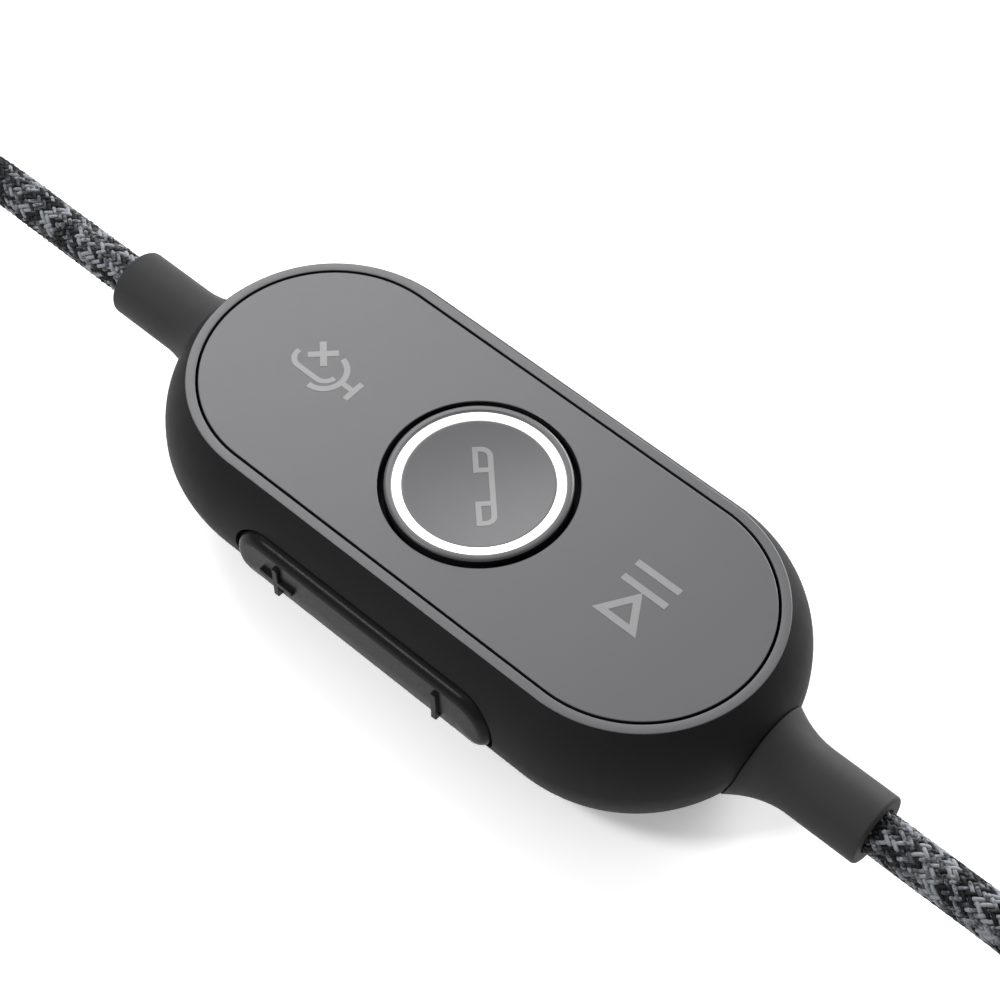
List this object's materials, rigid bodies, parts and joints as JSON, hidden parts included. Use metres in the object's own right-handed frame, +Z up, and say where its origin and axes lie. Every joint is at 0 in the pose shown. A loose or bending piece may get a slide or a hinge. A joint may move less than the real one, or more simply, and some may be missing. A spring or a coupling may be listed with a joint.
{
  "type": "headset in-line remote",
  "caption": "In-line call remote with a rocking key plate, lit call button and volume rocker, on a braided cord with a USB-C plug and a 3.5 mm plug.",
  "frame": {"origin": "middle of the remote's flat base", "axes": "+Z up through the keys, +X along the remote towards the computer end of the cord, -Y towards the volume key"},
  "size_m": [0.31, 0.0304, 0.0293],
  "materials": {
    "soft_touch_housing": "soft-touch matte",
    "key_grey": "satin painted",
    "elastomer": "moulded matte",
    "light_guide": "diffusing",
    "braid": "braided polyester",
    "frame_abs": "moulded",
    "board": "solder mask",
    "silicone": "moulded",
    "steel": "satin",
    "tin": "tinned",
    "chip_black": "moulded",
    "jacket": "extruded",
    "strap": "woven hook and loop"
  },
  "bodies": {
    "housing": {"upper_shell": "soft_touch_housing", "base_cover": "soft_touch_housing", "jack_grip": "soft_touch_housing", "usb_grip": "soft_touch_housing", "base_screw_1": "steel", "base_screw_2": "steel", "base_screw_3": "steel", "base_screw_4": "steel", "plate_pin_front": "steel", "plate_pin_back": "steel", "volume_pin": "steel", "jack_sleeve": "steel", "jack_ring_1": "steel", "jack_ring_2": "steel", "jack_tip": "steel", "usb_shell": "steel", "chassis": "frame_abs", "main_board": "board", "volume_board": "board", "audio_chip": "chip_black", "jack_core": "chip_black", "usb_contact_block": "chip_black", "switch_mute": "tin", "switch_call": "tin", "switch_play": "tin", "switch_volume_up": "tin", "switch_volume_down": "tin", "lead_crimp_left": "tin", "lead_crimp_right": "tin", "ring_led_1": "light_guide", "ring_led_2": "light_guide", "ring_led_3": "light_guide", "ring_led_4": "light_guide", "lead_header_left": "silicone", "lead_header_right": "silicone", "dome_call": "silicone", "dome_mute": "silicone", "dome_play": "silicone", "dome_volume_up": "silicone", "dome_volume_down": "silicone", "inner_lead_left": "jacket", "inner_lead_right": "jacket", "tie_left": "strap", "tie_right": "strap", "strain_relief_left": "elastomer", "strain_relief_right": "elastomer", "jack_relief": "elastomer", "usb_relief": "elastomer", "cord_left": "braid", "cord_right": "braid", "hank_left": "braid", "hank_right": "braid"},
    "key_plate": {"key_plate": "key_grey"},
    "call_button": {"call_button_shoulder": "key_grey", "call_button_light_ring": "light_guide", "call_button_cap": "key_grey"},
    "volume_key": {"volume_key": "elastomer"}
  },
  "joints": [
    {"name": "key_plate_rock", "type": "hinge", "parent": "housing", "child": "key_plate", "pos_m": [0, 0, 0.013], "axis": [0, 1, 0], "range_deg": [-1, 1], "stiffness_Nm_per_rad": 2.3, "deforming": ["dome_mute", "dome_play"]},
    {"name": "call_button_press", "type": "slide", "parent": "housing", "child": "call_button", "axis": [0, 0, -1], "range_m": [0, 0.0004], "stiffness_N_per_m": 3000, "deforming": ["dome_call"]},
    {"name": "volume_key_rock", "type": "hinge", "parent": "housing", "child": "volume_key", "pos_m": [0, -0.0106, 0.0091], "axis": [0, 0, 1], "range_deg": [-1.5, 1.5], "stiffness_Nm_per_rad": 0.85, "deforming": ["dome_volume_up", "dome_volume_down"]}
  ]
}
